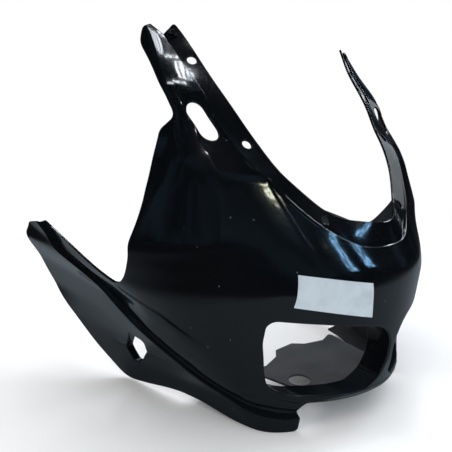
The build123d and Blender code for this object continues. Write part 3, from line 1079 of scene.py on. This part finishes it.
@dataclass
class Flange:
    """The stepped strip that carries the screen, with its screw holes."""

    step_down: float = 1.8
    root: float = 4.0
    widest: float = 28.0
    overrun: float = 2.0
    tip_radius: float = 3.5
    rounding: float = 0.8
    pitch: float = 1.6
    step_size: float = 0.3
    way_step: float = 0.5
    # Places on the step and on the free edge across from it, from the middle to the tip.
    pairs: Array = field(default_factory=lambda: np.array([
        ((42.0, 0.0, 201.5), (37.0, 0.0, 226.0)),
        ((38.7, 30.0, 203.0), (29.5, 26.0, 228.5)),
        ((24.0, 60.0, 213.5), (13.5, 52.0, 233.7)),
        ((9.0, 85.0, 232.0), (0.0, 70.5, 246.5)),
        ((-9.4, 107.0, 256.4), (-14.0, 88.0, 265.0)),
        ((-28.0, 123.7, 281.8), (-29.0, 102.0, 284.0)),
        ((-42.8, 133.0, 298.0), (-42.5, 110.0, 302.0)),
        ((-60.3, 138.6, 317.0), (-58.4, 116.0, 322.0)),
        ((-80.0, 144.0, 341.6), (-76.0, 124.0, 347.0)),
        ((-99.0, 148.0, 366.7), (-96.0, 130.0, 372.0)),
        ((-124.0, 154.3, 394.7), (-119.0, 135.5, 400.5)),
        ((-144.5, 160.7, 421.0), (-137.9, 144.4, 427.2)),
        ((-149.9, 162.4, 428.0), (-143.2, 147.4, 434.0)),
    ]))
    # Centre and axis of each hole: three for well nuts, and the bore of the clip nut at the tip.
    holes: Array = field(default_factory=lambda: np.array([
        ((11.9, 71.0, 235.5), (0.81920, 0.06171, 0.57018)),
        ((-50.0, 125.5, 310.0), (0.75645, 0.12163, 0.64264)),
        ((-118.0, 142.8, 394.6), (0.75318, 0.36844, 0.54495)),
        ((-140.74, 152.11, 421.02), (0.74523, 0.47871, 0.46418)),
    ]))
    hole_radii: tuple[float, ...] = (5.25, 5.25, 5.25, 2.1)

    def __post_init__(self) -> None:
        """Mirror the stations and lay a length along their middle line."""
        mirrored = self.pairs[:0:-1] * (1, -1, 1)
        self.stations = np.concatenate([mirrored, self.pairs])
        run = lengths_along(self.stations.mean(1))
        self.run = run - run[-1] / 2

    def edges_at(self, along: Array) -> tuple[Array, Array]:
        """Step and free edge at a signed length from the middle, by splines through the stations."""
        both = spline_through(self.run, self.stations.reshape(len(self.run), 6), along)
        return both[:, :3], both[:, 3:]

    def place(self, along: Array, across: Array) -> Array:
        """Outer face: straight from step to free edge, let down below the shell.

        Args:
            along: Signed length from the middle.
            across: Distance in from the step.

        Returns:
            Rows of X, Y and Z.
        """
        step, free = self.edges_at(along)
        ahead, _ = self.edges_at(along + self.way_step)
        behind, _ = self.edges_at(along - self.way_step)
        way = unit(free - step)
        out = unit(np.cross(ahead - behind, way))
        return step + way * across[:, None] - self.step_down * out

    def level(self, points: Array, along: Array, across: Array) -> Array:
        """Highest of the levels of the free outline with its rounded tips, the root and every hole.

        Args:
            points: Rows of X, Y and Z.
            along: Signed length from the middle.
            across: Distance in from the step.

        Returns:
            One level per row, set back by the edge rounding.
        """
        step, free = self.edges_at(along)
        width = np.linalg.norm(free - step, axis=1)
        past_side = across - width + self.tip_radius
        share = np.clip(across / width, 0, 1)
        end = self.run[-2] + (self.run[-1] - self.run[-2]) * share
        past_end = np.abs(along) - end + self.tip_radius
        corner = np.hypot(np.maximum(past_side, 0), np.maximum(past_end, 0))
        outline = corner - self.tip_radius + np.minimum(np.maximum(past_side, past_end), 0)
        levels = [outline, -across - self.root]
        folded = Shell.folded(points)
        for (centre, axis), radius in zip(self.holes, self.hole_radii):
            offset = folded - centre
            away = offset - np.outer(offset @ axis, axis)
            levels.append(radius - np.linalg.norm(away, axis=1))
        return np.stack(levels).max(0) + self.rounding

    def build(self) -> Skin:
        """Both faces of the flange with rolled edges.

        Returns:
            The skin.
        """
        length = self.run[-1]
        reach = length + self.overrun
        us = np.linspace(-reach, reach, int(2 * length / self.pitch))
        vs = np.arange(-self.root - 2 * self.pitch, self.widest, self.pitch)
        sheet = Sheet(self.place, self.level, self.step_size, self.step_size)
        return closed_plate(sheet, us, vs, self.rounding)


@dataclass
class Floor:
    """Plates inside the nose: the scalloped floor behind the lamps and the lips along the bottom edge."""

    rounding: float = 0.7
    pitch: float = 1.5
    step_size: float = 0.2
    seat: float = 1.5
    corner_radius: float = 4.0
    hole_at: Point = (-35.4, -51.5)
    hole_radius: float = 13.0
    lines: Waterlines = field(default_factory=Waterlines)
    # X and height along each plate, and X and half width along its edge.
    top: tuple[Point, ...] = ((-115, 28.0), (-22, 28.5), (8, 36.8), (60, 36.8))
    plan: tuple[Point, ...] = (
        (60, 84), (5, 84), (-22, 68.5), (-94, 82), (-86, 57), (-95, 29), (-108, 15.7))
    floor_x: Pair = (-112, 60)
    floor_y: Pair = (-92, 92.1)
    lip_top: tuple[Point, ...] = ((-123, 15.0), (-100, 14.0), (-57, 4.5), (-30, 3.6))
    lip_inner: tuple[Point, ...] = ((-123, 118.4), (-30, 101.5))
    lip_y: Pair = (98, 170)
    lip_overrun: float = 3.0
    band_proud: float = 6.0

    def __post_init__(self) -> None:
        """Close the plan across the middle and round its corners."""
        right = tuple((x, -w) for x, w in self.plan[::-1])
        loop = rounded_polygon([(p, self.corner_radius) for p in self.plan + right])
        self.cut = Cut("floor_plan", Side.PLAN, loop, Edge.ROLLED, keeps_inside=True)

    def inside_shell(self, points: Array, proud: float) -> Array:
        """How far points reach past the middle of a wall that stands a given height off the waterlines."""
        limit = self.lines.half_width(points[:, 0], points[:, 2]) + proud - self.seat
        return np.abs(points[:, 1]) - limit

    def floor_place(self, x: Array, y: Array) -> Array:
        """Plan points lifted to the floor's bent profile."""
        return np.stack([x, y, np.interp(x, *np.transpose(self.top))], 1)

    def floor_level(self, points: Array, x: Array, y: Array) -> Array:
        """Highest of the levels of the plan outline, the shell's wall and the cable hole.

        Args:
            points: Rows of X, Y and Z.
            x: Their X.
            y: Their Y.

        Returns:
            One level per row, set back by the edge rounding.
        """
        hole = self.hole_radius - np.hypot(x - self.hole_at[0], y - self.hole_at[1])
        parts = (self.cut.level(points), self.inside_shell(points, 0), hole)
        return np.stack(parts).max(0) + self.rounding

    def lip_place(self, x: Array, y: Array) -> Array:
        """Plan points lifted to the height of the bottom edge."""
        return np.stack([x, y, np.interp(x, *np.transpose(self.lip_top))], 1)

    def lip_level(self, points: Array, x: Array, y: Array) -> Array:
        """Highest of the levels of the straight inner edge, the side wall and both ends.

        Args:
            points: Rows of X, Y and Z.
            x: Their X.
            y: Their Y.

        Returns:
            One level per row, set back by the edge rounding.
        """
        inner = np.interp(x, *np.transpose(self.lip_inner)) - y
        ends = (self.lip_inner[0][0] - x, x - self.lip_inner[1][0])
        parts = (inner, self.inside_shell(points, self.band_proud), *ends)
        return np.stack(parts).max(0) + self.rounding

    def build(self) -> Skin:
        """The floor: a plan outline lifted to a bent profile, with one cable hole.

        Returns:
            The closed skin.
        """
        sheet = Sheet(self.floor_place, self.floor_level, self.step_size, self.step_size)
        us = np.arange(*self.floor_x, self.pitch)
        return closed_plate(sheet, us, np.arange(*self.floor_y, self.pitch), self.rounding)

    def lip(self) -> Skin:
        """Left lip: the strip between its straight inner edge and the side wall, along the bottom edge.

        Returns:
            The closed skin.
        """
        sheet = Sheet(self.lip_place, self.lip_level, self.step_size, self.step_size)
        low = self.lip_inner[0][0] - self.lip_overrun
        high = self.lip_inner[1][0] + self.lip_overrun
        us = np.arange(low, high, self.pitch)
        return closed_plate(sheet, us, np.arange(*self.lip_y, self.pitch), self.rounding)


@dataclass
class Label:
    """A blank vinyl label on the right half of the nose."""

    lift: float = 0.25
    columns: int = 60
    rows: int = 34
    farthest: float = 1.6
    halvings: int = 40
    # Half width and height of its corners, going round from the lower outer one.
    corners: Array = field(default_factory=lambda: np.array([
        (122.3, 152.0), (41.2, 131.5), (43.9, 169.5), (117.7, 184.7)]))

    def build(self, lines: Waterlines) -> Skin:
        """Bilinear patch in front view laid on the waterline surface and lifted along its normal.

        Args:
            lines: Sections of the fairing.

        Returns:
            The skin.
        """
        s, t = np.meshgrid(np.linspace(0, 1, self.columns), np.linspace(0, 1, self.rows))
        s = s.ravel()[:, None]
        t = t.ravel()[:, None]
        low = (1 - s) * self.corners[0] + s * self.corners[1]
        high = (1 - s) * self.corners[3] + s * self.corners[2]
        flat = (1 - t) * low + t * high
        c = self.along(lines, flat[:, 0], flat[:, 1])
        x, w, normal_x, normal_w = lines.base(c, flat[:, 1])
        points = np.stack([x + self.lift * normal_x, -(w + self.lift * normal_w), flat[:, 1]], 1)
        normals = np.stack([normal_x, -normal_w, 0 * x], 1)
        quads = cells_of(np.arange(self.columns * self.rows).reshape(self.rows, self.columns))
        return Skin(points, normals, [quads])

    def along(self, lines: Waterlines, w: Array, z: Array) -> Array:
        """Place along the waterline that has a given half width, by halving the range.

        Args:
            lines: Sections of the fairing.
            w: Half widths.
            z: Heights.

        Returns:
            Places along the waterline.
        """
        low = np.zeros(len(w))
        high = np.full(len(w), self.farthest)
        for _ in range(self.halvings):
            mid = (low + high) / 2
            short = lines.base(mid, z)[1] < w
            low = np.where(short, mid, low)
            high = np.where(short, high, mid)
        return (low + high) / 2


@dataclass
class Looks:
    """Node materials made from finishes. The size of each pattern is in millimetres."""

    # Spray lacquer dries with ripples 2 to 3 mm apart, and the moulding under it waves about every 26 mm.
    peel: float = 2.381
    peel_height: float = 0.4
    wave: float = 26.316
    wave_height: float = 1.2
    # Hand polishing leaves the gloss uneven over patches as wide as a palm.
    polish: float = 71.43
    polish_span: Pair = (0.35, 0.75)
    polish_gain: Pair = (0.6, 1.6)
    # Stone chips are 1 to 2 mm across. One cell in eight of this size can hold one, by a drawn number.
    chip_cell: float = 10.526
    chip_draw: Pair = (0.86, 0.88)
    chip_rim: Pair = (0.05, 0.09)
    chip_strength: float = 0.5
    # Overspray clouds the back over about 38 mm. Mould grain of 0.2 mm is drawn at 1.1 mm, so that it shows.
    cloud: float = 38.46
    cloud_span: Pair = (0.35, 0.7)
    grain: float = 1.111
    grain_height: float = 0.4
    # Rolled vinyl clouds over about 17 mm, and the phosphate coat of a nut wears in patches of about 4 mm.
    vinyl_cloud: float = 16.667
    worn_patch: float = 4.1667
    patch_span: Pair = (0.42, 0.72)

    @staticmethod
    def add(tree: bpy.types.NodeTree, kind: str, inputs: dict | tuple, output: str | int = 0,
            **settings: object) -> bpy.types.NodeSocket | None:
        """One node with its settings, and with its inputs set or linked.

        Args:
            tree: Tree to add to.
            kind: Node type, less the words that all shader nodes start with.
            inputs: Values or sockets, by input name or in order.
            output: The output to hand back.
            settings: Node properties.

        Returns:
            The output socket, or nothing for a node that has none.
        """
        node = tree.nodes.new("ShaderNode" + kind)
        for name, value in settings.items():
            setattr(node, name, value)
        given = inputs.items() if isinstance(inputs, dict) else enumerate(inputs)
        for name, value in given:
            if isinstance(value, bpy.types.NodeSocket):
                tree.links.new(value, node.inputs[name])
            else:
                node.inputs[name].default_value = value
        return node.outputs[output] if len(node.outputs) else None

    def start(self, finish: Finish) -> tuple[bpy.types.Material, bpy.types.NodeTree, bpy.types.NodeSocket]:
        """Material with an empty tree and its object coordinates.

        Args:
            finish: Gives the name.

        Returns:
            The material, its tree and the coordinates' socket.
        """
        material = bpy.data.materials.new(finish.name)
        material.use_nodes = True
        tree = material.node_tree
        tree.nodes.clear()
        return material, tree, self.add(tree, "TexCoord", {}, "Object")

    def paint(self, finish: Finish) -> bpy.types.Material:
        """Gloss black with spray ripples on long waves, uneven polish and pale stone chips.

        Args:
            finish: Colours and gloss.

        Returns:
            The material.
        """
        material, tree, where = self.start(finish)
        peel, wave, polish = [
            self.add(tree, "TexNoise", {"Vector": where, "Scale": per_metre(size), "Detail": detail})
            for size, detail in ((self.peel, 1.0), (self.wave, 1.0), (self.polish, 6.0))]
        away = self.add(tree, "TexVoronoi", {
            "Vector": where, "Scale": per_metre(self.chip_cell), "Randomness": 1.0}, "Distance")
        draw = self.add(tree, "SeparateColor", {"Color": away.node.outputs["Color"]}, "Red")
        chance = self.add(tree, "MapRange", (draw, *self.chip_draw, 0.0, 1.0))
        chip = self.add(tree, "MapRange", (away, *self.chip_rim, 1.0, 0.0))
        both = self.add(tree, "Math", (chance, chip), operation="MULTIPLY")
        shown = self.add(tree, "Math", (both, self.chip_strength), operation="MULTIPLY")
        colour = self.add(tree, "Mix", {"Factor": shown, **finish.pair()}, "Result", data_type="RGBA")
        least, most = (finish.roughness * gain for gain in self.polish_gain)
        rough = self.add(tree, "MapRange", (polish, *self.polish_span, least, most))
        fine = self.add(tree, "Bump", {
            "Height": peel, "Strength": 0.035, "Distance": self.peel_height * MM})
        broad = self.add(tree, "Bump", {
            "Height": wave, "Strength": 0.10, "Distance": self.wave_height * MM, "Normal": fine})
        shader = self.add(tree, "BsdfPrincipled", {
            **finish.even(), "Base Color": colour, "Roughness": rough, "Normal": broad, "Coat Normal": broad})
        self.add(tree, "OutputMaterial", {"Surface": shader})
        return material

    def backing(self, finish: Finish) -> bpy.types.Material:
        """Dull moulded back, clouded between two greys, with a fine grain.

        Args:
            finish: Colours and gloss.

        Returns:
            The material.
        """
        material, tree, where = self.start(finish)
        cloud, grain = [
            self.add(tree, "TexNoise", {"Vector": where, "Scale": per_metre(size), "Detail": detail})
            for size, detail in ((self.cloud, 7.0), (self.grain, 2.0))]
        share = self.add(tree, "MapRange", (cloud, *self.cloud_span, 0.0, 1.0))
        colour = self.add(tree, "Mix", {"Factor": share, **finish.pair()}, "Result", data_type="RGBA")
        bump = self.add(tree, "Bump", {
            "Height": grain, "Strength": 0.25, "Distance": self.grain_height * MM})
        shader = self.add(tree, "BsdfPrincipled", {**finish.even(), "Base Color": colour, "Normal": bump})
        self.add(tree, "OutputMaterial", {"Surface": shader})
        return material

    def clouded(self, finish: Finish, size: float) -> bpy.types.Material:
        """Smooth surface clouded between two near colours.

        Args:
            finish: Colours and gloss.
            size: Size of the clouds in millimetres.

        Returns:
            The material.
        """
        material, tree, where = self.start(finish)
        cloud = self.add(tree, "TexNoise", {"Vector": where, "Scale": per_metre(size), "Detail": 8.0})
        share = self.add(tree, "MapRange", (cloud, *self.patch_span, 0.0, 1.0))
        colour = self.add(tree, "Mix", {"Factor": share, **finish.pair()}, "Result", data_type="RGBA")
        shader = self.add(tree, "BsdfPrincipled", {**finish.even(), "Base Color": colour})
        self.add(tree, "OutputMaterial", {"Surface": shader})
        return material


@dataclass(frozen=True)
class Lamp:
    """A rectangular soft lamp: its place and aim in metres, its two sides, watts and tint."""

    name: str
    at: Place
    size: Pair
    power: float
    tint: str = "#ffffff"
    dappled: bool = False
    aim: Place = (0.15, 0.0, 0.25)


@dataclass
class Studio:
    """White floor, soft lamps and the camera at the photograph's angle, in metres."""

    lens: float = 39.15
    camera_at: Place = (0.4989, -0.4701, 0.3315)
    yaw: float = 41.08
    pitch: float = 12.14
    clip_start: float = 0.01

    # The floor's half side, and where it fades in reflections and turns to plain white for the camera.
    floor_half: float = 6.0
    floor_fade: Pair = (0.8, 1.05)
    floor_edge: Pair = (-0.43, -0.29)
    paper_fade: Pair = (0.35, 1.2)

    # A dim room in the reflections, with upright clutter that is a little brighter here and there.
    white: str = "#ffffff"
    room_colour: str = "#4d6678"
    dark_corner: str = "#06080a"
    clutter_scale: float = 3.2
    clutter_stretch: Place = (1.0, 1.0, 0.35)
    clutter_glow: Window = (0.52, 0.74, 0.03, 0.7)

    # Gaps between leaves outside the windows are about 45 mm wide.
    leaf_gap: float = 45.4545
    leaf_light: Window = (0.44, 0.58, 0.12, 2.0)

    # X, Y and both sides of each skylight.
    skylights: tuple[tuple[float, ...], ...] = (
        (0.505, -0.12, 0.09, 0.55), (0.45, 0.37, 0.07, 0.36), (0.325, 0.57, 0.08, 0.24))
    skylight_height: float = 2.0
    skylight_watts: float = 28.0
    sky: str = "#eef4fb"
    lamps: tuple[Lamp, ...] = (
        Lamp("window_near", (1.72, 0.38, 1.0), (0.16, 0.34), 1.3, "#86bbe8", True),
        Lamp("window_far", (1.52, 0.8, 1.02), (0.2, 0.3), 1.1, "#86bbe8", True),
        Lamp("garden_window", (1.65, 0.12, 1.08), (0.06, 0.09), 0.2, "#e4e8cf", True),
        Lamp("front_high", (1.0, -0.2, 1.76), (0.1, 0.1), 0.5),
        Lamp("left_high", (0.0, 1.15, 1.65), (0.9, 0.2), 4.0, "#e6eef6"),
        Lamp("left_strip", (0.35, 1.6, 1.22), (0.7, 0.16), 5.0, "#dfe9f2"),
        Lamp("left_wall", (0.45, 1.6, 0.9), (0.9, 0.3), 0.6, "#dfe9f2"),
        Lamp("left_low", (-0.66, 1.6, 0.62), (0.5, 0.25), 0.5, "#dfe9f2"),
        Lamp("back_strip", (-0.9, 0.1, 1.25), (1.2, 0.12), 4.0, "#eef3fa"),
    )

    def set_camera(self) -> None:
        """Place the camera and make it the scene's."""
        data = bpy.data.cameras.new("photo_camera")
        data.lens = self.lens
        data.clip_start = self.clip_start
        camera = bpy.data.objects.new("photo_camera", data)
        bpy.context.scene.collection.objects.link(camera)
        yaw = math.radians(self.yaw)
        pitch = math.radians(self.pitch)
        way = Vector((-math.cos(yaw) * math.cos(pitch), math.sin(yaw) * math.cos(pitch), -math.sin(pitch)))
        camera.location = self.camera_at
        camera.rotation_euler = way.to_track_quat("-Z", "Y").to_euler()
        bpy.context.scene.camera = camera

    def set_world(self, looks: Looks) -> None:
        """White to the eye and for soft light, and a dim blue-black room in reflections.

        Args:
            looks: Node helper.
        """
        world = bpy.data.worlds.new("studio")
        bpy.context.scene.world = world
        world.use_nodes = True
        tree = world.node_tree
        tree.nodes.clear()
        mirrored = looks.add(tree, "LightPath", {}, "Is Glossy Ray")
        seen = looks.add(tree, "Background", {"Color": linear(self.white), "Strength": 1.0})
        way = looks.add(tree, "TexCoord", {}, "Generated")
        tall = looks.add(tree, "Mapping", {"Vector": way, "Scale": self.clutter_stretch})
        clutter = looks.add(tree, "TexNoise", {"Vector": tall, "Scale": self.clutter_scale, "Detail": 5.0})
        glow = looks.add(tree, "MapRange", (clutter, *self.clutter_glow))
        room = looks.add(tree, "Background", {"Color": linear(self.room_colour), "Strength": glow})
        mix = looks.add(tree, "MixShader", (mirrored, seen, room))
        looks.add(tree, "OutputWorld", {"Surface": mix})

    def paper(self, looks: Looks, finish: Finish) -> bpy.types.Material:
        """Pale paper that shows in reflections as a dull floor fading into the room.

        Args:
            looks: Node helper.
            finish: Colours and gloss.

        Returns:
            The material.
        """
        material, tree, where = looks.start(finish)
        mirrored = looks.add(tree, "LightPath", {}, "Is Glossy Ray")
        away = looks.add(tree, "VectorMath", {0: where}, "Value", operation="LENGTH")
        across = looks.add(tree, "SeparateXYZ", {"Vector": where}, "Y")
        beside = looks.add(tree, "MapRange", (across, *self.floor_edge, 0.0, 1.0))
        round_fade = looks.add(tree, "MapRange", (away, *self.floor_fade, 1.0, 0.0))
        fade = looks.add(tree, "Math", (beside, round_fade), operation="MULTIPLY")
        dull = looks.add(tree, "Mix", {
            "Factor": fade, "A": linear(self.dark_corner), "B": linear(finish.second)},
            "Result", data_type="RGBA")
        colour = looks.add(tree, "Mix", {
            "Factor": mirrored, "A": linear(finish.colour), "B": dull}, "Result", data_type="RGBA")
        shader = looks.add(tree, "BsdfPrincipled", {**finish.even(), "Base Color": colour})
        far = looks.add(tree, "MapRange", (away, *self.paper_fade, 0.0, 1.0))
        shown = looks.add(tree, "Math", (far, mirrored.node.outputs["Is Camera Ray"]), operation="MULTIPLY")
        white = looks.add(tree, "Emission", {"Color": linear(self.white), "Strength": 1.0})
        mix = looks.add(tree, "MixShader", (shown, shader, white))
        looks.add(tree, "OutputMaterial", {"Surface": mix})
        return material

    def hang(self, lamp: Lamp, looks: Looks) -> None:
        """Put up one lamp, even or dappled like a window behind leaves.

        Args:
            lamp: The lamp.
            looks: Node helper.
        """
        data = bpy.data.lights.new(lamp.name, "AREA")
        data.color = linear(lamp.tint)[:3]
        data.shape = "RECTANGLE"
        data.size, data.size_y = lamp.size
        data.energy = lamp.power
        thing = bpy.data.objects.new(lamp.name, data)
        thing.location = lamp.at
        thing.rotation_euler = (Vector(lamp.aim) - Vector(lamp.at)).to_track_quat("-Z", "Y").to_euler()
        bpy.context.scene.collection.objects.link(thing)
        if lamp.dappled:
            data.use_nodes = True
            tree = data.node_tree
            where = looks.add(tree, "NewGeometry", {}, "Position")
            leaves = looks.add(tree, "TexNoise", {
                "Vector": where, "Scale": per_metre(self.leaf_gap), "Detail": 3.0})
            share = looks.add(tree, "MapRange", (leaves, *self.leaf_light))
            tree.links.new(share, tree.nodes["Emission"].inputs["Strength"])

    def build(self, looks: Looks) -> None:
        """Floor, world, lamps, camera and view transform.

        Args:
            looks: Node helper.
        """
        half = self.floor_half
        mesh = bpy.data.meshes.new("floor")
        corners = [(-half, -half, 0), (half, -half, 0), (half, half, 0), (-half, half, 0)]
        mesh.from_pydata(corners, [], [(0, 1, 2, 3)])
        floor = bpy.data.objects.new("floor", mesh)
        bpy.context.scene.collection.objects.link(floor)
        mesh.materials.append(self.paper(looks, FLOOR_PAPER))
        self.set_world(looks)
        for k, (x, y, *sides) in enumerate(self.skylights):
            power = self.skylight_watts * sides[0] * sides[1]
            at = (x, y, self.skylight_height)
            self.hang(Lamp(f"skylight_{k}", at, tuple(sides), power, self.sky, True, (x, y, 0)), looks)
        for lamp in self.lamps:
            self.hang(lamp, looks)
        self.set_camera()
        bpy.context.scene.view_settings.view_transform = "Standard"


def dress(thing: bpy.types.Object, material: bpy.types.Material) -> None:
    """Give an object one material."""
    thing.data.materials.clear()
    thing.data.materials.append(material)


def main() -> None:
    """Build the scene over the frame."""
    logging.basicConfig(level=logging.INFO, format="%(message)s")
    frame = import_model()
    looks = Looks()
    paint = looks.paint(PAINT)
    # The backing finish on the inner skins and bottom lips is darkened with painted shade.
    backing = looks.backing(SHADED_BACKING)

    shell = Shell()
    outer, inner = shell.build()
    floor = Floor(lines=shell.lines)
    lip = floor.lip()
    bare = looks.backing(BARE_PLASTIC)
    skins = [
        ("fairing_skin_left", outer, paint),
        ("fairing_skin_right", outer.mirrored(), paint),
        ("fairing_back_left", inner, backing),
        ("fairing_back_right", inner.mirrored(), backing),
        ("screen_flange", Flange().build(), paint),
        ("nose_floor", floor.build(), bare),
        ("bottom_lip_left", lip, backing),
        ("bottom_lip_right", lip.mirrored(), backing),
    ]
    for name, skin, material in skins:
        piece = skin.make(name)
        dress(piece, material)
        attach(piece, "root")
    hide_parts("upper_fairing")
    label = Label().build(shell.lines).make("blank_label")
    dress(label, looks.clouded(LABEL_VINYL, looks.vinyl_cloud))
    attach(label, "root")

    steel = looks.clouded(NUT_STEEL, looks.worn_patch)
    for name in ("screen_clip_nut_left", "screen_clip_nut_right"):
        dress(frame["nodes"][name], steel)

    Studio().build(looks)


if __name__ == "__main__":
    main()
